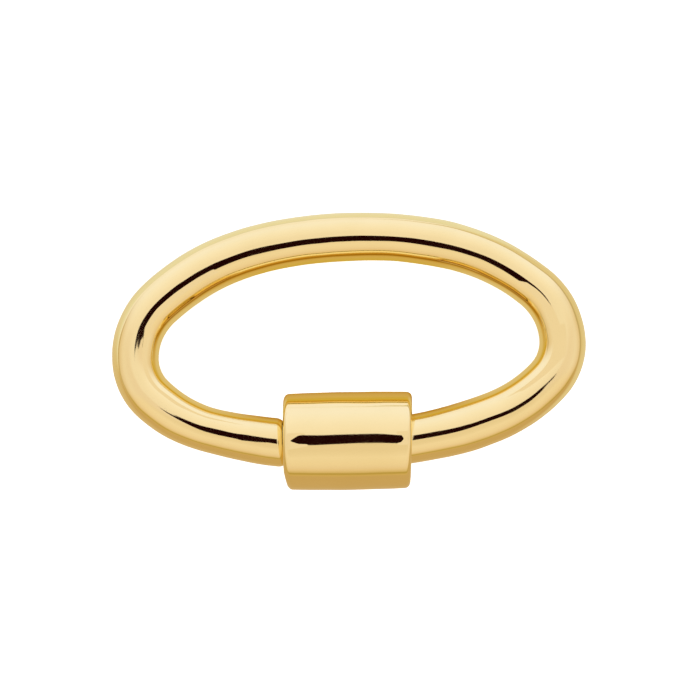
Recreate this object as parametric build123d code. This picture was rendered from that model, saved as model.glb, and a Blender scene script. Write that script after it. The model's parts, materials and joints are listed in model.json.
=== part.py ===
"""Oval carabiner clasp: a link of round wire whose gap is closed by a sliding screw barrel.

The link is drawn flat first, with its long axis on X, its back at +Y and its front, with the barrel, at -Y.
It is then laid down as it rests, on the thick barrel in front and on the thin wire at the back, so that its
front is a little raised. Millimetres and degrees, +Z up, the origin at the bottom centre.
"""
from build123d import *
from math import asin, cos, degrees, radians, sin, sqrt
import os

# Wire and outline of the link. The depths run from its widest line to the middle of the wire.
WIRE_DIAMETER = 2.22
LINK_LENGTH = 22.0
BACK_DEPTH = 5.35
FRONT_DEPTH = 4.42

# Each half of the outline has three tangent arcs a side, from the link's end to the half's middle.
# The end arc's radius is a share of the half's depth. The middle arc takes what is left of the quarter turn.
BACK_ARCS = {"end_radius_share": 0.641, "end_turn": 48.0, "shoulder_turn": 31.0}
FRONT_ARCS = {"end_radius_share": 0.573, "end_turn": 46.0, "shoulder_turn": 26.0}

# Barrel. It sits a little left of the middle and leans a little within its play on the wire.
BARREL_DIAMETER = 4.5
BARREL_LENGTH = 5.84
BARREL_CROWN = 0.05
BARREL_EDGE_RADIUS = 0.32
BARREL_OFFSET = 0.25
BARREL_LEAN = 1.2
MOUTH_LENGTH = 0.3
MOUTH_CLEARANCE = 0.15
MOUTH_EDGE_RADIUS = 0.06
BORE_CLEARANCE = 0.1
THREAD_LAND_LENGTH = 1.2
THREAD_ROOM = 0.28

# The wire's two ends, hidden in the barrel. Both are turned down to the post's diameter, the left one
# from the shoulder that stops the barrel.
SEAM = 0.08
SHOULDER_EDGE_RADIUS = 0.2
POST_DIAMETER = 1.4
POST_LENGTH = 1.5
POST_CHAMFER = 0.15
GAP = 2.1

wire_radius = WIRE_DIAMETER / 2
barrel_radius = BARREL_DIAMETER / 2
half_span = LINK_LENGTH / 2 - wire_radius


def half_outline(depth, arcs):
    """Radius and turn of each arc on one side of a half outline, from the link's end to the half's middle.

    The other two radii follow from the end radius, because the arcs together go half_span inwards
    and depth forwards.
    """
    end_radius = arcs["end_radius_share"] * depth
    turns = [arcs["end_turn"], arcs["shoulder_turn"], 90 - arcs["end_turn"] - arcs["shoulder_turn"]]
    headings = [0, turns[0], turns[0] + turns[1], 90]
    inwards = [cos(radians(a)) - cos(radians(b)) for a, b in zip(headings, headings[1:])]
    forwards = [sin(radians(b)) - sin(radians(a)) for a, b in zip(headings, headings[1:])]
    span_left = half_span - end_radius * inwards[0]
    depth_left = depth - end_radius * forwards[0]
    scale = inwards[1] * forwards[2] - inwards[2] * forwards[1]
    shoulder_radius = (span_left * forwards[2] - depth_left * inwards[2]) / scale
    middle_radius = (depth_left * inwards[1] - span_left * forwards[1]) / scale
    return list(zip([end_radius, shoulder_radius, middle_radius], turns))


back_arcs = half_outline(BACK_DEPTH, BACK_ARCS)
front_arcs = half_outline(FRONT_DEPTH, FRONT_ARCS)

# The front's middle arc carries the barrel, which travels on it about the arc's centre
front_radius, front_half_turn = front_arcs[-1]
travel_centre = Vector(0, front_radius - FRONT_DEPTH)
barrel_angle = -degrees(asin(BARREL_OFFSET / front_radius))
barrel_half_angle = degrees(asin(BARREL_LENGTH / 2 / front_radius))


def on_front(angle, radius=front_radius):
    """A point of the front, at an angle from its middle that grows to the right."""
    return travel_centre + Vector(radius * sin(radians(angle)), -radius * cos(radians(angle)))


def along_front(angle):
    """The direction to the right along the front at that angle."""
    return Vector(cos(radians(angle)), sin(radians(angle)))


# The barrel's seat is the chord between the wire's middles at its two mouths
chord_distance = sqrt(front_radius**2 - (BARREL_LENGTH / 2)**2)
seat = Plane(on_front(barrel_angle, chord_distance), x_dir=along_front(barrel_angle))
bow_of_front = front_radius - chord_distance


def angle_at(seat_x):
    """The front's angle at a distance along the seat."""
    return barrel_angle + degrees(asin(seat_x / front_radius))


shoulder_x = -BARREL_LENGTH / 2 - SEAM
right_tip_x = shoulder_x + POST_LENGTH + GAP
right_step_x = right_tip_x + POST_LENGTH
opening_angle = barrel_half_angle + angle_at(right_tip_x) - barrel_angle


def wire_path():
    """The full wire's middle line, from a little inside the barrel's left end round the link to the right step."""
    start_angle = angle_at(wire_radius - BARREL_LENGTH / 2)
    runs = [(front_radius, front_half_turn + start_angle)]
    runs += front_arcs[-2::-1]
    runs += back_arcs
    runs += back_arcs[::-1]
    runs += front_arcs[:-1]
    runs += [(front_radius, front_half_turn - angle_at(right_step_x))]
    point = on_front(start_angle)
    heading = -along_front(start_angle)
    edges = []
    for radius, turn in runs:
        edges.append(JernArc(point, heading, radius, -turn))
        point = edges[-1] @ 1
        heading = edges[-1] % 1
    return Wire(edges)


def make_oval_link():
    """The bent wire, trimmed flat at the shoulder, with the two turned down ends."""
    path = wire_path()
    wire = sweep(Plane(path @ 0, z_dir=path % 0) * Circle(wire_radius), path=path)
    trim = Box(WIRE_DIAMETER, BARREL_DIAMETER, BARREL_DIAMETER, align=(Align.MIN, Align.CENTER, Align.CENTER))
    shoulder = seat * Pos(shoulder_x, 0, 0)
    wire -= shoulder * trim
    wire = fillet(wire.faces().sort_by_distance(shoulder.position)[0].edges(), SHOULDER_EDGE_RADIUS)

    post = Cylinder(POST_DIAMETER / 2, POST_LENGTH + wire_radius, align=(Align.CENTER, Align.CENTER, Align.MIN))
    post = chamfer(post.faces().sort_by(Axis.Z)[-1].edges(), POST_CHAMFER)
    left_post = shoulder * Pos(-wire_radius, 0, 0) * Rot(0, 90, 0) * post

    tip_turn = angle_at(right_step_x) - angle_at(right_tip_x)
    tip_path = JernArc(path @ 1, path % 1, front_radius, -tip_turn)
    right_post = sweep(Plane(path @ 1, z_dir=path % 1) * Circle(POST_DIAMETER / 2), path=tip_path)
    right_post = chamfer(right_post.faces().sort_by_distance(tip_path @ 1)[0].edges(), POST_CHAMFER)
    return wire + left_post + right_post


def make_screw_barrel():
    """The sleeve, turned about its own X axis and then set on its seat."""
    half_length = BARREL_LENGTH / 2
    end_radius = barrel_radius - BARREL_CROWN
    land_radius = POST_DIAMETER / 2 + THREAD_ROOM
    mouth_radius = wire_radius + MOUTH_CLEARANCE
    bore_radius = wire_radius + bow_of_front + BORE_CLEARANCE
    land_x = THREAD_LAND_LENGTH - half_length
    mouth_x = half_length - MOUTH_LENGTH
    flare_x = mouth_x - (bore_radius - mouth_radius)
    outside = ThreePointArc((-half_length, end_radius), (0, barrel_radius), (half_length, end_radius))
    inside = Polyline(
        (half_length, end_radius),
        (half_length, mouth_radius),
        (mouth_x, mouth_radius),
        (flare_x, bore_radius),
        (land_x, bore_radius),
        (land_x, land_radius),
        (-half_length, land_radius),
        (-half_length, end_radius),
    )
    profile = make_face(Wire(outside.edges() + inside.edges()))
    profile = fillet(profile.vertices().group_by(Axis.Y)[-1], BARREL_EDGE_RADIUS)
    mouths = [(half_length, mouth_radius), (-half_length, land_radius)]
    rims = [profile.vertices().sort_by_distance(mouth)[0] for mouth in mouths]
    profile = fillet(rims, MOUTH_EDGE_RADIUS)
    return seat * Rot(0, 0, -BARREL_LEAN) * revolve(profile, Axis.X)


def lay_down(shapes):
    """The flat shapes as the clasp rests, with the origin at the bottom centre, and where that puts them."""
    rise = barrel_radius - wire_radius
    tilt = degrees(asin(rise / (BACK_DEPTH - seat.origin.Y)))
    tilted = Compound(children=[Rot(-tilt, 0, 0) * shape for shape in shapes])
    box = tilted.bounding_box()
    place = Pos(-box.center().X, -box.center().Y, -box.min.Z) * Rot(-tilt, 0, 0)
    return [place * shape for shape in shapes], place, tilt


(oval_link, screw_barrel), place, tilt = lay_down([make_oval_link(), make_screw_barrel()])

os.makedirs("parts", exist_ok=True)
export_step(oval_link, "parts/oval_link.step")
export_step(screw_barrel, "parts/screw_barrel.step")

print("tilt at rest", round(tilt, 3))
print("barrel travels about", (place * Pos(travel_centre)).position)
print("along", Vector(0, sin(radians(tilt)), cos(radians(tilt))))
print("barrel opens by", round(opening_angle, 3))
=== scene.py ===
"""Oval carabiner clasp in polished yellow gold, lying on white and seen from straight above.

The link and its barrel are modelled flat, with the link's long axis on X, its back at +Y and its front at -Y,
and are then laid down in the frame's own place. Around them stand a light table, a dark shape and four pale
cards, which the gold mirrors.
"""
import json
import math

import bmesh
import bpy
from mathutils import Matrix, Vector


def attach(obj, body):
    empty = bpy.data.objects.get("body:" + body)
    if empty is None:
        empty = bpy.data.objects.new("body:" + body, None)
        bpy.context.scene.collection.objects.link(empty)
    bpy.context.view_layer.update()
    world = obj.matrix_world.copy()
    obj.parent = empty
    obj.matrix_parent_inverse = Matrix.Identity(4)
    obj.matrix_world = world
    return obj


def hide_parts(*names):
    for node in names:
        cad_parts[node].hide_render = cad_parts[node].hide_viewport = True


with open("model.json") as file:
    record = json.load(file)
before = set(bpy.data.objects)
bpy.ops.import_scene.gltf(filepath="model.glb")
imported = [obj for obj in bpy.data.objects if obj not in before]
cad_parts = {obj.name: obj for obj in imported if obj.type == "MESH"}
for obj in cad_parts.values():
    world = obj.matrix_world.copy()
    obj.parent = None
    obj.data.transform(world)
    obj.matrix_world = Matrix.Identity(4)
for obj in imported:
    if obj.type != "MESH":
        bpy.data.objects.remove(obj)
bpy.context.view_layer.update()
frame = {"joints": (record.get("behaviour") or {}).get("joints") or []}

MM = 0.001

# The middle of a noise, whose values go from 0 to 1
NOISE_MIDDLE = 0.5

# Wire and outline of the link. The depths run from its widest line to the middle of the wire.
WIRE_DIAMETER = 2.22 * MM
LINK_LENGTH = 22.0 * MM
BACK_DEPTH = 5.35 * MM
FRONT_DEPTH = 4.42 * MM

# Each half of the outline has three tangent arcs a side, from the link's end to the half's middle
BACK_ARCS = {"end_radius_share": 0.641, "end_turn": 48.0, "shoulder_turn": 31.0}
FRONT_ARCS = {"end_radius_share": 0.573, "end_turn": 46.0, "shoulder_turn": 26.0}

# Barrel
BARREL_DIAMETER = 4.5 * MM
BARREL_LENGTH = 5.84 * MM
BARREL_CROWN = 0.05 * MM
BARREL_EDGE_RADIUS = 0.24 * MM
BARREL_OFFSET = 0.25 * MM
BARREL_LEAN = math.radians(1.2)
MOUTH_LENGTH = 0.3 * MM
MOUTH_CLEARANCE = 0.15 * MM
MOUTH_EDGE_RADIUS = 0.06 * MM
BORE_CLEARANCE = 0.1 * MM
THREAD_LAND_LENGTH = 1.2 * MM
THREAD_ROOM = 0.28 * MM

# Wire ends inside the barrel. The left shoulder is rounded, and the wire is straight on both sides of it.
SEAM = 0.04 * MM
SHOULDER_ROUND_LENGTH = 0.33 * MM
SHOULDER_ROUND_DEPTH = 0.15 * MM
SHOULDER_STRAIGHT = 2 * SHOULDER_ROUND_LENGTH
POST_DIAMETER = 1.4 * MM
POST_LENGTH = 1.5 * MM
POST_CHAMFER = 0.15 * MM
GAP = 2.1 * MM

# What hand work leaves on the wire: it swells a little on one diagonal of the link and has a waist on the
# other, clear of the barrel, and it has small bends and thick places, by direction and spread in degrees
WIRE_SWELL = 0.03 * MM
WIRE_WAIST = 0.06 * MM
SWELL_DIRECTION = math.radians(114)
SWELL_CLEARANCE = 0.4 * MM
SWELL_FADE = 3.0 * MM
WIRE_BENDS = [
    {"direction": 42, "spread": 14, "outwards": -0.045 * MM, "thicker": 0.05 * MM},
    {"direction": 85, "spread": 30, "outwards": -0.028 * MM, "thicker": 0},
    {"direction": 157, "spread": 20, "outwards": 0.015 * MM, "thicker": 0.04 * MM},
    {"direction": 200, "spread": 10, "outwards": 0.085 * MM, "thicker": 0},
    {"direction": 318, "spread": 16, "outwards": 0.055 * MM, "thicker": 0.035 * MM},
]

# What wear leaves on the barrel: its left end is lower on top and, from a share of the radius on, shorter in
# front, and its right end is out of square, about a pivot behind the barrel's axis
TOP_WEAR_LENGTH = 1.1 * MM
TOP_WEAR_DEPTH = 0.05 * MM
TOP_WEAR_POWER = 4
FRONT_WEAR_START = 0.66
FRONT_WEAR_DEPTH = 0.14 * MM
END_TURN = math.radians(2.2)
END_PIVOT = 0.9 * MM

# The slight waves in every polished face
POLISH_WAVE_HEIGHT = 0.03 * MM
POLISH_WAVE_SIZE = 1.8 * MM
POLISH_WAVE_DETAIL = 1

# Fineness of the meshes, and the cosine from which on two directions count as the same
WIRE_SIDES = 112
WIRE_STEP = 0.14 * MM
BARREL_SIDES = 224
CROWN_STEPS = 14
EDGE_STEPS = 10
RIM_STEPS = 4
CORNER_STEPS = 4
MERGE_DISTANCE = 0.001 * MM
SMOOTH_ANGLE = math.radians(30)
SAME_WAY = 0.9

# View
PICTURE_PIXELS = 700
LINK_PIXELS = 475.3
CENTRE_PIXEL = (349.0, 349.9)
CAMERA_ELEVATION = math.radians(88.9)
CAMERA_TURN = math.radians(2.82)
LENS = 90
SENSOR = 36
NEAREST_SEEN = 1 * MM
FARTHEST_SEEN = 100

# Gold. In cloudy patches the base turns to the shade, and the roughness with it, each over its own range of
# the cloud.
GOLD_BASE = (0.98, 0.82, 0.40)
GOLD_SHADE = (0.965, 0.805, 0.385)
GOLD_ROUGHNESS = (0.04, 0.08)
CLOUD_FOR_COLOUR = (0.35, 0.65)
CLOUD_FOR_ROUGHNESS = (0.3, 0.7)

# Polishing marks. A scale is in waves a millimetre, and a hairline's depth is a share of the grain's height.
POLISH_MARKS = {"Cloud Scale": 0.6, "Grain Scale": 9.0, "Hairline Scale": 1.1, "Hairline Depth": 0.5}
LINK_MARKS = {"Cloud Scale": 0.5, "Grain Scale": 7.0}
BARREL_MARKS = {"Cloud Scale": 0.35, "Grain Scale": 9.0}
LINK_GRAIN_HEIGHT = 0.00015 * MM
BARREL_GRAIN_HEIGHT = 0.00012 * MM
CLOUD_DETAIL = 3.0
GRAIN_DETAIL = 2.0
HAIRLINE_DETAIL = 4.0
HAIRLINE_WIDTH = 0.006

# Floor. It is a light table, which the camera sees white. The gold sees it in tints of painted light and
# shade by the place on Y: around the link, darker in front and brighter behind, under its wire as a painted
# shadow, and in its window as the gold's painted bounce light and painted shade. At its right they go by the
# place on X, and inside its bows is one tint alone. The pairs of places say from where to where one tint
# turns into the next.
FLOOR_SIZE = 2.0
FLOOR_GLOW = 0.85
FLOOR_WHITE = (0.9, 0.9, 0.9)
# Painted light and shade around the link: darker and warm in front, bright and cool behind
FLOOR_SHADING_AROUND = [
    (-9 * MM, (0.60, 0.43, 0.23)),
    (0 * MM, (0.73, 0.61, 0.43)),
    (7 * MM, (0.84, 0.84, 0.80)),
    (12 * MM, (0.85, 0.84, 0.81)),
    (15 * MM, (0.74, 0.73, 0.72)),
    (17.5 * MM, (0.95, 0.95, 1.15)),
    (20 * MM, (0.98, 0.97, 1.19)),
]
# Painted shade at the link's right, darker farther out
FLOOR_SHADE_AT_RIGHT = [
    (12 * MM, (0.76, 0.67, 0.50)),
    (20 * MM, (0.74, 0.64, 0.47)),
    (34 * MM, (0.55, 0.44, 0.27)),
]
RIGHT_FROM_X = (8 * MM, 12 * MM)
RIGHT_FROM_Y = (-9 * MM, -4 * MM)
# Painted bounce light from the gold and painted shade in the window, darkest by the front wire
FLOOR_BOUNCE_AND_SHADE_IN_WINDOW = [
    (-2.6 * MM, (0.42, 0.23, 0.02)),
    (-1.2 * MM, (0.54, 0.31, 0.05)),
    (0 * MM, (0.62, 0.42, 0.14)),
    (1.4 * MM, (0.66, 0.47, 0.17)),
    (2.6 * MM, (0.65, 0.47, 0.13)),
    (3.7 * MM, (0.63, 0.45, 0.09)),
]
# Painted bounce light from the gold inside the bows
FLOOR_BOUNCE_BY_BOWS = (0.73, 0.60, 0.35)
BOWS_FROM_X = (3.5 * MM, 6.5 * MM)
# Painted shadow under the wire, darkest in front
FLOOR_SHADOW_UNDER_WIRE = [
    (-4 * MM, (0.28, 0.12, 0.01)),
    (4 * MM, (0.66, 0.49, 0.10)),
]

# The window and the link as two ellipses about one middle on Y, with a soft edge
WINDOW_HALF_SIZE = (9.0 * MM, 3.7 * MM)
LINK_HALF_SIZE = (10.6 * MM, 5.7 * MM)
ELLIPSE_MIDDLE = 0.5 * MM
ELLIPSE_EDGE = (0.9, 1.1)

# Dark shape over the clasp, which the gold mirrors as its black line. Its corners are in millimetres on X, Y
# and Z, from its left tip along the back to the right and home along the front.
DARK_TINT = (0.012, 0.001, 0.001)
DARK_CORNER = 0.7
DARK_OUTLINE = [
    (-16, -0.3, 34),
    (-13, 1.5, 35),
    (-11, 5, 36.5),
    (-8, 8, 38),
    (-3.5, 5.3, 34),
    (3, 5.3, 34),
    (5.5, 3.6, 36),
    (9.5, 1.4, 34.5),
    (13, 1.4, 34),
    (15.5, 3.2, 35.5),
    (18.5, 2.3, 35),
    (20, -3, 34),
    (16.5, -7, 32),
    (11, -7.4, 31),
    (6, -7.4, 30),
    (2.5, -5.6, 25),
    (-1, -6, 25),
    (-3.5, -6.5, 25),
    (-7, -5.5, 31),
    (-11, -10, 29),
    (-13, -6, 31),
    (-14.3, -2, 33),
]

# Small pale cards close over the clasp, which end the black line: on the back before it goes round the bows,
# and on the barrel before its rims. Levels and corners are in millimetres.
CARD_TINT = (0.89, 0.80, 0.80)
CARD_CORNER = 0.05
CARDS = {
    "card_right": {
        "level": 5,
        "outline": [
            (7.2, -0.3),
            (6.2, 1.2),
            (6.9, 1.8),
            (7.75, 2.4),
            (8.2, 2.3),
            (8.7, 1.9),
            (9.3, 1.3),
            (10.5, 1.5),
            (10.5, -0.3),
        ],
    },
    "card_left": {
        "level": 5,
        "outline": [
            (-7, 0.4),
            (-8.3, 1.4),
            (-8.02, 2.0),
            (-7.3, 2.42),
            (-6.5, 2.8),
            (-5.5, 3.15),
            (-4.6, 1.5),
        ],
    },
    "card_barrel_left": {
        "level": 4.9,
        "outline": [
            (-2.3, -3.4),
            (-3.2, -3.4),
            (-3.2, -4.5),
            (-2.1, -4.3),
            (-2.1, -4.17),
            (-2.55, -4.12),
            (-2.94, -3.92),
            (-2.54, -3.6),
            (-2.15, -3.53),
        ],
    },
    "card_barrel_right": {
        "level": 4.9,
        "outline": [
            (2.68, -3.55),
            (2.68, -4.45),
            (2.0, -4.45),
            (1.97, -4.32),
            (2.16, -4.27),
            (2.3, -4.06),
            (2.2, -3.82),
            (1.97, -3.72),
            (2.0, -3.57),
        ],
    },
}

# Sky, by height from the horizon at 0 to straight up at 1, in front, aside and behind. One turns into the
# next by how far a direction points back, and to the right every direction is read as if it pointed higher.
SKY_IN_FRONT = [
    (0.0, (0.61, 0.43, 0.22)),
    (0.07, (0.65, 0.485, 0.22)),
    (0.125, (0.53, 0.38, 0.13)),
    (0.18, (0.50, 0.37, 0.12)),
    (0.21, (0.67, 0.52, 0.28)),
    (0.33, (0.81, 0.65, 0.50)),
    (0.44, (0.85, 0.715, 0.63)),
    (0.58, (0.89, 0.77, 0.69)),
    (0.80, (0.91, 0.81, 0.755)),
    (0.94, (0.84, 0.735, 0.66)),
]
SKY_ASIDE = [
    (0.0, (0.74, 0.59, 0.38)),
    (0.05, (0.70, 0.56, 0.34)),
    (0.09, (0.55, 0.43, 0.26)),
    (0.12, (0.58, 0.46, 0.29)),
    (0.17, (0.78, 0.655, 0.55)),
    (0.45, (0.87, 0.77, 0.75)),
    (0.60, (0.89, 0.81, 0.82)),
    (0.87, (0.87, 0.77, 0.775)),
]
SKY_BEHIND = [
    (0.0, (0.93, 0.92, 1.05)),
    (0.07, (0.99, 0.99, 1.25)),
    (0.3, (0.99, 1.0, 1.27)),
    (0.6, (0.99, 0.97, 1.14)),
    (0.87, (0.965, 0.91, 0.99)),
    (0.98, (0.92, 0.855, 0.91)),
]
RIGHT_READS_HIGHER = 0.12
FRONT_TURNS_SIDE = (-0.5, -0.1)
SIDE_TURNS_BACK = (0.3, 0.85)
LEAST_LEVEL_REACH = 0.001

wire_radius = WIRE_DIAMETER / 2
barrel_radius = BARREL_DIAMETER / 2
half_span = LINK_LENGTH / 2 - wire_radius


def half_outline(depth, arcs):
    """Radius and turn of each arc on one side of a half outline, from the link's end to the half's middle.

    The other two radii follow from the end radius, because the arcs together go half_span inwards
    and depth forwards.
    """
    end_radius = arcs["end_radius_share"] * depth
    end_turn = math.radians(arcs["end_turn"])
    shoulder_turn = math.radians(arcs["shoulder_turn"])
    turns = [end_turn, shoulder_turn, math.pi / 2 - end_turn - shoulder_turn]
    headings = [0, turns[0], turns[0] + turns[1], math.pi / 2]
    inwards = [math.cos(start) - math.cos(end) for start, end in zip(headings, headings[1:])]
    forwards = [math.sin(end) - math.sin(start) for start, end in zip(headings, headings[1:])]
    span_left = half_span - end_radius * inwards[0]
    depth_left = depth - end_radius * forwards[0]
    scale = inwards[1] * forwards[2] - inwards[2] * forwards[1]
    shoulder_radius = (span_left * forwards[2] - depth_left * inwards[2]) / scale
    middle_radius = (depth_left * inwards[1] - span_left * forwards[1]) / scale
    return list(zip([end_radius, shoulder_radius, middle_radius], turns))


back_arcs = half_outline(BACK_DEPTH, BACK_ARCS)
front_arcs = half_outline(FRONT_DEPTH, FRONT_ARCS)
front_radius, front_half_turn = front_arcs[-1]
travel_centre = Vector((0, front_radius - FRONT_DEPTH, 0))

# Where the frame holds the flat link
joint = frame["joints"][0]
plane_normal = Vector(joint["axis"]).normalized()
plane_back = Vector((0, plane_normal.z, -plane_normal.y))
link_centre = Vector(joint["pos_m"]) - plane_back * travel_centre.y
plane_axes = Matrix((Vector((1, 0, 0)), plane_back, plane_normal)).transposed()
laid_down = Matrix.Translation(link_centre) @ plane_axes.to_4x4()


def on_front(angle, radius=front_radius):
    """A point of the front, at an angle from its middle that grows to the right."""
    return travel_centre + Vector((radius * math.sin(angle), -radius * math.cos(angle), 0))


def along_front(angle):
    """The direction to the right along the front at that angle."""
    return Vector((math.cos(angle), math.sin(angle), 0))


# The barrel's seat is the chord between the wire's middles at its two mouths
barrel_angle = -math.asin(BARREL_OFFSET / front_radius)
chord_distance = math.sqrt(front_radius**2 - (BARREL_LENGTH / 2) ** 2)
bow_of_front = front_radius - chord_distance
seat = on_front(barrel_angle, chord_distance)
seat_right = along_front(barrel_angle)


def angle_at(seat_x):
    """The front's angle at a distance along the seat."""
    return barrel_angle + math.asin(seat_x / front_radius)


shoulder_x = -BARREL_LENGTH / 2 - SEAM
right_tip_x = shoulder_x + POST_LENGTH + GAP
right_step_angle = angle_at(right_tip_x + POST_LENGTH)
right_tip_angle = angle_at(right_tip_x)


def add_primitive(add, **options):
    """Adds one primitive as a new object, opens it in edit mode and selects all of it."""
    bpy.ops.object.select_all(action="DESELECT")
    add(**options)
    bpy.ops.object.transform_apply(location=True, rotation=True, scale=True)
    bpy.ops.object.mode_set(mode="EDIT")
    bpy.ops.mesh.select_mode(type="VERT")
    bpy.ops.mesh.select_all(action="SELECT")


def select_parts(kind, test):
    """Selects the faces or the edges of the open mesh that pass the test, and nothing else."""
    bpy.ops.mesh.select_all(action="DESELECT")
    bpy.ops.mesh.select_mode(type={"faces": "FACE", "edges": "EDGE"}[kind])
    mesh = bpy.context.object.data
    shape = bmesh.from_edit_mesh(mesh)
    for part in getattr(shape, kind):
        if test(part):
            part.select_set(True)
    shape.select_flush_mode()
    bmesh.update_edit_mesh(mesh)


def middle(part):
    """The mean place of a face's or an edge's corners."""
    return sum((vertex.co for vertex in part.verts), Vector()) / len(part.verts)


def spin(angle, centre, steps):
    """Spins what is selected about an upright axis. A positive angle turns to the left, seen from above."""
    bpy.ops.mesh.spin(steps=steps, angle=-angle, center=centre, axis=(0, 0, 1))


def close_mesh():
    """Merges what lies on each other in the open mesh, turns its faces outwards and leaves edit mode."""
    bpy.ops.mesh.select_all(action="SELECT")
    bpy.ops.mesh.remove_doubles(threshold=MERGE_DISTANCE)
    bpy.ops.mesh.normals_make_consistent(inside=False)
    bpy.ops.object.mode_set(mode="OBJECT")
    return bpy.context.object


def displace(piece, strength, group="", texture=None):
    """Moves the piece's surface along its normals, by a vertex group or both ways about a texture's mean."""
    modifier = piece.modifiers.new("displace", "DISPLACE")
    modifier.strength = strength
    modifier.vertex_group = group
    modifier.texture = texture
    modifier.mid_level = NOISE_MIDDLE if texture else 0
    bpy.ops.object.modifier_apply(modifier=modifier.name)


def wave_surface(piece):
    """Lets the polished surface wave very slightly."""
    texture = bpy.data.textures.new("polish_waves", "CLOUDS")
    texture.noise_scale = POLISH_WAVE_SIZE
    texture.noise_depth = POLISH_WAVE_DETAIL
    displace(piece, POLISH_WAVE_HEIGHT, texture=texture)


def smooth_step(share):
    """Eases a share from 0 to 1, and keeps it between them."""
    kept = min(1, max(0, share))
    return kept**2 * (3 - 2 * kept)


def finish_piece(piece, name, body, node, material):
    """Lays the closed piece down in the frame, gives it its body and its finish, and hides the node's
    imported part.
    """
    piece.name = name
    piece.matrix_world = laid_down
    bpy.ops.object.transform_apply(location=True, rotation=True, scale=True)
    bpy.ops.object.shade_smooth_by_angle(angle=SMOOTH_ANGLE)
    piece.data.materials.append(material)
    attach(piece, body)
    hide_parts(node)


def sweep_wire():
    """Spins the wire's ring round the link, from the right end's step to just past the left shoulder."""
    add_primitive(
        bpy.ops.mesh.primitive_circle_add,
        vertices=WIRE_SIDES,
        radius=wire_radius,
        location=on_front(right_step_angle),
        rotation=(0, math.pi / 2, right_step_angle),
    )
    straight_angle = angle_at(shoulder_x - SHOULDER_STRAIGHT)
    runs = [(front_radius, front_half_turn - right_step_angle)]
    runs += front_arcs[-2::-1]
    runs += back_arcs
    runs += back_arcs[::-1]
    runs += front_arcs[:-1]
    runs += [(front_radius, front_half_turn + straight_angle)]
    point = on_front(right_step_angle)
    heading = right_step_angle
    for radius, turn in runs:
        centre = point + Vector((-math.sin(heading), math.cos(heading), 0)) * radius
        spin(turn, centre, max(1, round(turn * radius / WIRE_STEP)))
        heading += turn
        point = centre + Vector((math.sin(heading), -math.cos(heading), 0)) * radius
    spin(angle_at(shoulder_x + SHOULDER_STRAIGHT) - straight_angle, travel_centre, 1)


def shape_left_end():
    """Cuts the wire before the shoulder, rounds it down ring by ring and draws the left end's post out."""
    shoulder = on_front(angle_at(shoulder_x))
    wire_right = along_front(angle_at(shoulder_x))
    along_wire = wire_right / wire_right.dot(seat_right)
    centre = shoulder - along_wire * SHOULDER_ROUND_LENGTH

    def near_cut(face):
        place = middle(face) - centre
        return abs(place.dot(seat_right)) < WIRE_DIAMETER / 2 and place.length < WIRE_DIAMETER

    def is_cut(face):
        place = middle(face) - centre
        return abs(place.dot(seat_right)) < MERGE_DISTANCE and abs(face.normal.dot(seat_right)) > SAME_WAY

    select_parts("faces", near_cut)
    bpy.ops.mesh.bisect(plane_co=centre, plane_no=seat_right, use_fill=True, clear_outer=True)
    select_parts("faces", is_cut)
    radius = wire_radius
    way = 0
    for step in range(1, EDGE_STEPS + 1):
        turn = math.pi / 2 * step / EDGE_STEPS
        next_way = SHOULDER_ROUND_LENGTH * math.sin(turn)
        next_radius = wire_radius - SHOULDER_ROUND_DEPTH * (1 - math.cos(turn))
        advance = along_wire * (next_way - way)
        centre = centre + advance
        bpy.ops.mesh.extrude_region_move(TRANSFORM_OT_translate={"value": advance})
        bpy.ops.transform.resize(value=(next_radius / radius,) * 3, center_override=centre)
        radius = next_radius
        way = next_way
    bpy.ops.mesh.inset(thickness=radius - POST_DIAMETER / 2)
    bpy.ops.mesh.extrude_region_move(TRANSFORM_OT_translate={"value": seat_right * POST_LENGTH})
    bpy.ops.mesh.bevel(offset=POST_CHAMFER, segments=1, affect="EDGES")


def shape_right_end():
    """Steps the wire down in the barrel's right and spins its plain post on along the front."""
    step = on_front(right_step_angle)
    wire_right = along_front(right_step_angle)
    select_parts("edges", lambda edge: edge.is_boundary and (middle(edge) - step).length < WIRE_DIAMETER)
    bpy.ops.mesh.edge_face_add()
    bpy.ops.mesh.select_mode(type="FACE")
    bpy.ops.mesh.inset(thickness=wire_radius - POST_DIAMETER / 2)
    spin(right_tip_angle - right_step_angle, travel_centre, EDGE_STEPS)
    bpy.ops.mesh.bevel(offset=POST_CHAMFER, segments=1, affect="EDGES")


def swell_wire(link):
    """Makes the wire thicker on one diagonal of the link and thinner on the other, clear of the barrel."""
    clear = BARREL_LENGTH / 2 + SWELL_CLEARANCE
    for name, sign, depth in (("swell", 1, WIRE_SWELL), ("waist", -1, WIRE_WAIST)):
        group = link.vertex_groups.new(name=name)
        for vertex in link.data.vertices:
            place = vertex.co
            wave = sign * math.cos(2 * (math.atan2(place.y, place.x) - SWELL_DIRECTION))
            fade = smooth_step(((place - seat).length - clear) / SWELL_FADE)
            group.add([vertex.index], max(0, wave) * fade, "REPLACE")
        displace(link, sign * depth, group=name)


def bend_wire(link):
    """Adds the small bends and thick places of hand work, each about its direction from the link's middle."""
    normals = [vertex.normal.copy() for vertex in link.data.vertices]
    for vertex, normal in zip(link.data.vertices, normals):
        outwards = Vector((vertex.co.x, vertex.co.y, 0)).normalized()
        for bend in WIRE_BENDS:
            turn = math.radians(bend["direction"])
            away = outwards.angle(Vector((math.cos(turn), math.sin(turn), 0)))
            share = math.exp(-((away / math.radians(bend["spread"])) ** 2))
            vertex.co += (outwards * bend["outwards"] + normal * bend["thicker"]) * share


def make_link(material):
    """The bent round wire with its two turned down ends."""
    sweep_wire()
    shape_left_end()
    shape_right_end()
    link = close_mesh()
    swell_wire(link)
    bend_wire(link)
    wave_surface(link)
    finish_piece(link, "link_wire", "link", "oval_link", material)


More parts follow.
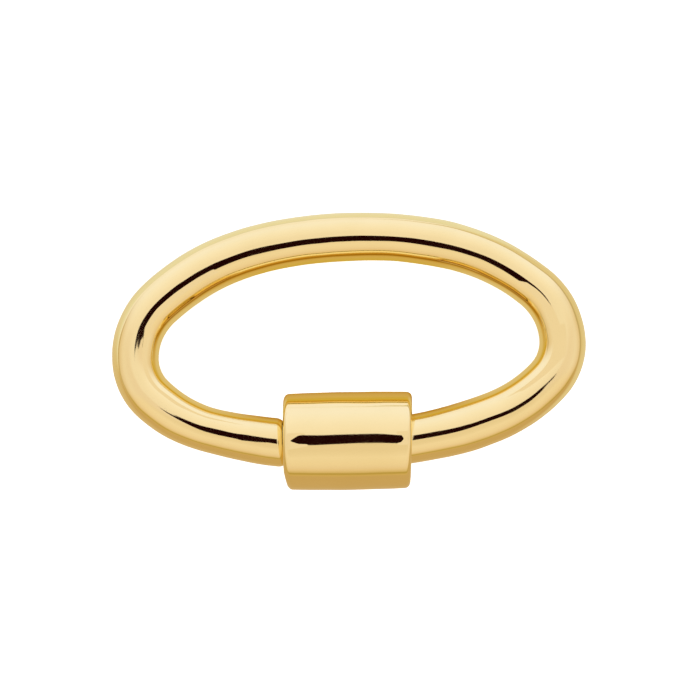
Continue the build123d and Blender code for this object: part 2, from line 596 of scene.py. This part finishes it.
def draw_barrel_profile():
    """Draws the sleeve's section from point to point, from the crown round the end to the bore and back."""
    half_length = BARREL_LENGTH / 2
    end_radius = barrel_radius - BARREL_CROWN
    land_radius = POST_DIAMETER / 2 + THREAD_ROOM
    mouth_radius = wire_radius + MOUTH_CLEARANCE
    bore_radius = wire_radius + bow_of_front + BORE_CLEARANCE
    land_x = THREAD_LAND_LENGTH - half_length
    mouth_x = half_length - MOUTH_LENGTH
    flare_x = mouth_x - (bore_radius - mouth_radius)
    corners = [
        (half_length, mouth_radius),
        (mouth_x, mouth_radius),
        (flare_x, bore_radius),
        (land_x, bore_radius),
        (land_x, land_radius),
        (-half_length, land_radius),
        (-half_length, end_radius),
    ]
    crown_radius = (half_length**2 + BARREL_CROWN**2) / (2 * BARREL_CROWN)
    crown_angle = math.asin(half_length / crown_radius)
    add_primitive(bpy.ops.mesh.primitive_plane_add, size=MM, location=(-half_length, end_radius, 0))
    bpy.ops.mesh.merge(type="CENTER")
    bpy.ops.mesh.select_all(action="SELECT")
    spin(-2 * crown_angle, (0, barrel_radius - crown_radius, 0), CROWN_STEPS)
    place = Vector((half_length, end_radius, 0))
    for corner in corners:
        target = Vector((*corner, 0))
        bpy.ops.mesh.extrude_region_move(TRANSFORM_OT_translate={"value": target - place})
        place = target


def wear_ends(barrel):
    """Wears the still unturned barrel's left end, on top and in front, and turns its right end a little."""
    half_length = BARREL_LENGTH / 2
    for vertex in barrel.data.vertices:
        place = vertex.co
        at_right = max(0, place.x / half_length) ** 2
        place.x += at_right * math.tan(END_TURN) * (place.y - END_PIVOT)
        at_left = max(0, -place.x / half_length) ** 2
        in_front = max(0, -place.y / barrel_radius - FRONT_WEAR_START) / (1 - FRONT_WEAR_START)
        place.x += at_left * in_front * FRONT_WEAR_DEPTH
        from_end = min(1, (place.x + half_length) / TOP_WEAR_LENGTH)
        on_top = max(0, place.z / barrel_radius) ** TOP_WEAR_POWER
        place.z -= (1 - from_end) ** 2 * on_top * TOP_WEAR_DEPTH


def make_barrel(material):
    """The sleeve, turned from its section and rounded at its rims, on its seat with its little lean."""
    draw_barrel_profile()
    bpy.ops.mesh.select_all(action="SELECT")
    bpy.ops.mesh.remove_doubles(threshold=MERGE_DISTANCE)
    bpy.ops.mesh.spin(steps=BARREL_SIDES, angle=2 * math.pi, center=(0, 0, 0), axis=(1, 0, 0))
    bpy.ops.mesh.select_all(action="SELECT")
    bpy.ops.mesh.remove_doubles(threshold=MERGE_DISTANCE)
    bpy.ops.mesh.normals_make_consistent(inside=False)

    def is_rim(edge, x, radius):
        ends = [vertex.co for vertex in edge.verts]
        return all(
            abs(end.x - x) < MERGE_DISTANCE and abs(math.hypot(end.y, end.z) - radius) < MERGE_DISTANCE
            for end in ends
        )

    half_length = BARREL_LENGTH / 2
    outer_radius = barrel_radius - BARREL_CROWN
    rims = [
        (half_length, outer_radius, BARREL_EDGE_RADIUS, EDGE_STEPS),
        (-half_length, outer_radius, BARREL_EDGE_RADIUS, EDGE_STEPS),
        (half_length, wire_radius + MOUTH_CLEARANCE, MOUTH_EDGE_RADIUS, RIM_STEPS),
        (-half_length, POST_DIAMETER / 2 + THREAD_ROOM, MOUTH_EDGE_RADIUS, RIM_STEPS),
    ]
    for x, radius, edge_radius, steps in rims:
        select_parts("edges", lambda edge: is_rim(edge, x, radius))
        bpy.ops.mesh.bevel(offset=edge_radius, segments=steps, affect="EDGES", clamp_overlap=False)
    barrel = close_mesh()
    wear_ends(barrel)
    wave_surface(barrel)
    barrel.matrix_world = Matrix.Translation(seat) @ Matrix.Rotation(barrel_angle - BARREL_LEAN, 4, "Z")
    bpy.ops.object.transform_apply(location=True, rotation=True, scale=True)
    finish_piece(barrel, "barrel_sleeve", "barrel", "screw_barrel", material)


def set_camera():
    """Looks down on the link along a long lens, with its centre and length where the photograph has them."""
    scale = LINK_LENGTH / LINK_PIXELS
    right = Vector((math.cos(CAMERA_TURN), -math.sin(CAMERA_TURN), 0))
    level = Vector((math.sin(CAMERA_TURN), math.cos(CAMERA_TURN), 0))
    away = Vector((0, 0, math.sin(CAMERA_ELEVATION))) - level * math.cos(CAMERA_ELEVATION)
    up = away.cross(right)
    picture_middle = PICTURE_PIXELS / 2
    aside = right * (picture_middle - CENTRE_PIXEL[0]) * scale
    below = up * (picture_middle - CENTRE_PIXEL[1]) * scale
    distance = PICTURE_PIXELS * scale * LENS / SENSOR
    data = bpy.data.cameras.new("camera")
    data.lens = LENS
    data.sensor_width = SENSOR
    data.clip_start = NEAREST_SEEN
    data.clip_end = FARTHEST_SEEN
    camera = bpy.data.objects.new("camera", data)
    bpy.context.scene.collection.objects.link(camera)
    turn = Matrix((right, up, away)).transposed()
    camera.matrix_world = Matrix.Translation(link_centre + aside - below + away * distance) @ turn.to_4x4()
    bpy.context.scene.camera = camera


def set_socket(tree, socket, value):
    """Links a socket to another node's output, or sets it to a plain value."""
    if isinstance(value, bpy.types.NodeSocket):
        tree.links.new(value, socket)
    else:
        socket.default_value = value


def work_out(tree, operation, *values):
    """A Math node's result."""
    node = tree.nodes.new("ShaderNodeMath")
    node.operation = operation
    for socket, value in zip(node.inputs, values):
        set_socket(tree, socket, value)
    return node.outputs["Value"]


def ease(tree, value, start, end, low=0.0, high=1.0):
    """Eases from low, where the value is at the start, to high, where it is at the end."""
    node = tree.nodes.new("ShaderNodeMapRange")
    node.interpolation_type = "SMOOTHSTEP"
    settings = {"Value": value, "From Min": start, "From Max": end, "To Min": low, "To Max": high}
    for name, setting in settings.items():
        set_socket(tree, node.inputs[name], setting)
    return node.outputs["Result"]


def blend(tree, share, first, second):
    """Mixes two colours."""
    node = tree.nodes.new("ShaderNodeMix")
    node.data_type = "RGBA"
    set_socket(tree, node.inputs["Factor"], share)
    for name, colour in (("A_Color", first), ("B_Color", second)):
        socket = next(one for one in node.inputs if one.identifier == name)
        set_socket(tree, socket, colour if isinstance(colour, bpy.types.NodeSocket) else (*colour, 1))
    return next(one for one in node.outputs if one.identifier == "Result_Color")


def ramp(tree, value, stops):
    """A colour from a few stops, each a value and the colour there."""
    first, last = stops[0][0], stops[-1][0]
    node = tree.nodes.new("ShaderNodeValToRGB")
    elements = node.color_ramp.elements
    while len(elements) < len(stops):
        elements.new(1)
    for element, (place, colour) in zip(elements, stops):
        element.position = (place - first) / (last - first)
        element.color = (*colour, 1)
    share = work_out(tree, "DIVIDE", work_out(tree, "SUBTRACT", value, first), last - first)
    set_socket(tree, node.inputs["Fac"], share)
    return node.outputs["Color"]


def noise(tree, place, scale, detail):
    """A noise over the places, whose scale is in waves a millimetre."""
    node = tree.nodes.new("ShaderNodeTexNoise")
    set_socket(tree, node.inputs["Vector"], place)
    set_socket(tree, node.inputs["Scale"], work_out(tree, "DIVIDE", scale, MM))
    node.inputs["Detail"].default_value = detail
    return node.outputs["Fac"]


def make_polish_group():
    """What polishing leaves on gold: cloudy patches, fine grain and hairlines, for any finish here to use."""
    group = bpy.data.node_groups.new("polish_marks", "ShaderNodeTree")
    for name, value in POLISH_MARKS.items():
        mark = group.interface.new_socket(name=name, in_out="INPUT", socket_type="NodeSocketFloat")
        mark.default_value = value
    for name in ("Cloud", "Height"):
        group.interface.new_socket(name=name, in_out="OUTPUT", socket_type="NodeSocketFloat")
    given = group.nodes.new("NodeGroupInput").outputs
    result = group.nodes.new("NodeGroupOutput").inputs
    place = group.nodes.new("ShaderNodeTexCoord").outputs["Object"]
    cloud = noise(group, place, given["Cloud Scale"], CLOUD_DETAIL)
    grain = noise(group, place, given["Grain Scale"], GRAIN_DETAIL)
    strands = noise(group, place, given["Hairline Scale"], HAIRLINE_DETAIL)
    from_line = work_out(group, "ABSOLUTE", work_out(group, "SUBTRACT", strands, NOISE_MIDDLE))
    hairline = ease(group, from_line, 0.0, HAIRLINE_WIDTH, 1.0, 0.0)
    sunk = work_out(group, "MULTIPLY", hairline, given["Hairline Depth"])
    height = work_out(group, "SUBTRACT", grain, sunk)
    group.links.new(cloud, result["Cloud"])
    group.links.new(height, result["Height"])


def make_gold(name, marks, grain_height):
    """Polished yellow gold with its own polishing marks."""
    material = bpy.data.materials.new(name)
    material.use_nodes = True
    tree = material.node_tree
    shader = tree.nodes["Principled BSDF"]
    shader.inputs["Metallic"].default_value = 1
    polish = tree.nodes.new("ShaderNodeGroup")
    polish.node_tree = bpy.data.node_groups["polish_marks"]
    for socket, value in marks.items():
        polish.inputs[socket].default_value = value
    cloud = polish.outputs["Cloud"]
    colour = blend(tree, ease(tree, cloud, *CLOUD_FOR_COLOUR), GOLD_BASE, GOLD_SHADE)
    tree.links.new(colour, shader.inputs["Base Color"])
    tree.links.new(ease(tree, cloud, *CLOUD_FOR_ROUGHNESS, *GOLD_ROUGHNESS), shader.inputs["Roughness"])
    bump = tree.nodes.new("ShaderNodeBump")
    bump.inputs["Strength"].default_value = 1
    bump.inputs["Distance"].default_value = grain_height
    tree.links.new(polish.outputs["Height"], bump.inputs["Height"])
    tree.links.new(bump.outputs["Normal"], shader.inputs["Normal"])
    return material


def make_floor():
    """A light table, white to the camera and tinted to the gold.

    The gold sees it in painted light and shade: warm and darker in front, cool and bright behind, yellow with
    the gold's painted bounce light inside the link, and dark under its wire with a painted shadow.
    """
    bpy.ops.object.select_all(action="DESELECT")
    bpy.ops.mesh.primitive_plane_add(size=FLOOR_SIZE)
    floor = bpy.context.object
    floor.name = "floor"
    material = bpy.data.materials.new("floor_white")
    material.use_nodes = True
    tree = material.node_tree
    tree.nodes.clear()
    output = tree.nodes.new("ShaderNodeOutputMaterial")
    mix = tree.nodes.new("ShaderNodeMixShader")
    path = tree.nodes.new("ShaderNodeLightPath")
    lit = tree.nodes.new("ShaderNodeAddShader")
    paper = tree.nodes.new("ShaderNodeBsdfDiffuse")
    paper.inputs["Color"].default_value = (*FLOOR_WHITE, 1)
    table = tree.nodes.new("ShaderNodeEmission")
    table.inputs["Strength"].default_value = FLOOR_GLOW
    tree.links.new(paper.outputs["BSDF"], lit.inputs[0])
    tree.links.new(table.outputs["Emission"], lit.inputs[1])
    glow = tree.nodes.new("ShaderNodeEmission")
    place = tree.nodes.new("ShaderNodeTexCoord")
    split = tree.nodes.new("ShaderNodeSeparateXYZ")
    tree.links.new(place.outputs["Object"], split.inputs["Vector"])
    x, y = split.outputs["X"], split.outputs["Y"]
    depth = work_out(tree, "SUBTRACT", y, ELLIPSE_MIDDLE)

    def beyond(half_size):
        shares = [work_out(tree, "DIVIDE", way, half) for way, half in zip((x, depth), half_size)]
        squares = [work_out(tree, "MULTIPLY", share, share) for share in shares]
        return ease(tree, work_out(tree, "ADD", *squares), *ELLIPSE_EDGE)

    # The tints below are the floor's painted light and shade, seen by the gold only
    at_right = work_out(tree, "MULTIPLY", ease(tree, x, *RIGHT_FROM_X), ease(tree, y, *RIGHT_FROM_Y))
    around = blend(tree, at_right, ramp(tree, y, FLOOR_SHADING_AROUND), ramp(tree, x, FLOOR_SHADE_AT_RIGHT))
    by_bows = ease(tree, work_out(tree, "ABSOLUTE", x), *BOWS_FROM_X)
    inside = blend(tree, by_bows, ramp(tree, y, FLOOR_BOUNCE_AND_SHADE_IN_WINDOW), FLOOR_BOUNCE_BY_BOWS)
    shade = blend(tree, beyond(WINDOW_HALF_SIZE), inside, ramp(tree, y, FLOOR_SHADOW_UNDER_WIRE))
    shade = blend(tree, beyond(LINK_HALF_SIZE), shade, around)
    tree.links.new(shade, glow.inputs["Color"])
    tree.links.new(path.outputs["Is Glossy Ray"], mix.inputs["Fac"])
    tree.links.new(lit.outputs["Shader"], mix.inputs[1])
    tree.links.new(glow.outputs["Emission"], mix.inputs[2])
    tree.links.new(mix.outputs["Shader"], output.inputs["Surface"])
    floor.data.materials.append(material)


def hang_shape(name, outline, corner, tint):
    """A shape over the clasp that only the gold mirrors, with rounded corners and a plain tint."""
    bpy.ops.object.select_all(action="DESELECT")
    bpy.ops.mesh.primitive_circle_add(vertices=len(outline), radius=corner * MM, fill_type="NGON")
    shape = bpy.context.object
    shape.name = name
    for vertex, place in zip(shape.data.vertices, outline):
        vertex.co = Vector(place) * MM
    bpy.ops.object.mode_set(mode="EDIT")
    bpy.ops.mesh.select_all(action="SELECT")
    bpy.ops.mesh.bevel(offset=corner * MM, segments=CORNER_STEPS, affect="VERTICES")
    bpy.ops.object.mode_set(mode="OBJECT")
    material = bpy.data.materials.new(name + "_tint")
    material.use_nodes = True
    tree = material.node_tree
    glow = tree.nodes.new("ShaderNodeEmission")
    glow.inputs["Color"].default_value = (*tint, 1)
    tree.links.new(glow.outputs["Emission"], tree.nodes["Material Output"].inputs["Surface"])
    shape.data.materials.append(material)
    shape.visible_camera = False
    shape.visible_diffuse = False
    shape.visible_shadow = False
    shape.visible_transmission = False


def make_world():
    """A white surround whose brightness and tint turn with the direction."""
    world = bpy.data.worlds.new("studio")
    bpy.context.scene.world = world
    world.use_nodes = True
    tree = world.node_tree
    place = tree.nodes.new("ShaderNodeTexCoord")
    split = tree.nodes.new("ShaderNodeSeparateXYZ")
    tree.links.new(place.outputs["Generated"], split.inputs["Vector"])
    x, y, z = split.outputs["X"], split.outputs["Y"], split.outputs["Z"]
    flat = work_out(tree, "SQRT", work_out(tree, "SUBTRACT", 1.0, work_out(tree, "MULTIPLY", z, z)))
    backness = work_out(tree, "DIVIDE", y, work_out(tree, "MAXIMUM", flat, LEAST_LEVEL_REACH))
    to_right = work_out(tree, "MULTIPLY", work_out(tree, "MAXIMUM", x, 0.0), RIGHT_READS_HIGHER)
    height = work_out(tree, "ADD", z, to_right)
    front, aside, behind = [ramp(tree, height, stops) for stops in (SKY_IN_FRONT, SKY_ASIDE, SKY_BEHIND)]
    sky = blend(tree, ease(tree, backness, *FRONT_TURNS_SIDE), front, aside)
    sky = blend(tree, ease(tree, backness, *SIDE_TURNS_BACK), sky, behind)
    tree.links.new(sky, tree.nodes["Background"].inputs["Color"])


set_camera()
make_polish_group()
make_link(make_gold("link_gold", LINK_MARKS, LINK_GRAIN_HEIGHT))
make_barrel(make_gold("barrel_gold", BARREL_MARKS, BARREL_GRAIN_HEIGHT))
make_floor()
hang_shape("dark_shape", DARK_OUTLINE, DARK_CORNER, DARK_TINT)
for name, card in CARDS.items():
    hang_shape(name, [(x, y, card["level"]) for x, y in card["outline"]], CARD_CORNER, CARD_TINT)
make_world()
bpy.context.scene.view_settings.view_transform = "Standard"
